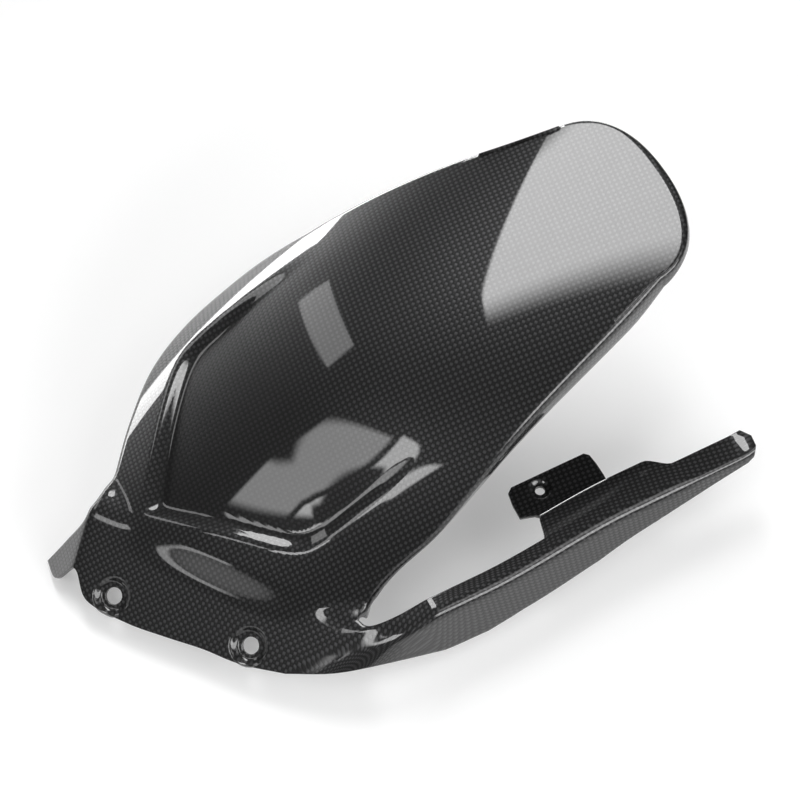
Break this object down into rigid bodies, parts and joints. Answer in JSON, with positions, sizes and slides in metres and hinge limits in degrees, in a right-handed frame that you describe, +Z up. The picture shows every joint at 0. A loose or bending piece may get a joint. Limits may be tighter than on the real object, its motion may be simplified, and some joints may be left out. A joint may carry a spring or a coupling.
{
  "type": "motorcycle rear fender",
  "caption": "Moulded carbon-fibre rear hugger with a recessed front panel and rolled edge, and a chain guard with a stepped screw tab, all in one piece.",
  "frame": {"origin": "midway between the two front screw holes, in the plane of their dished seats", "axes": "+X forward, +Y to the chain side, +Z up, with the chain guard level"},
  "size_m": [0.3776, 0.2415, 0.1687],
  "materials": {
    "rear_fender": "gloss"
  },
  "bodies": {
    "root": {"rear_fender": "rear_fender"}
  },
  "joints": []
}
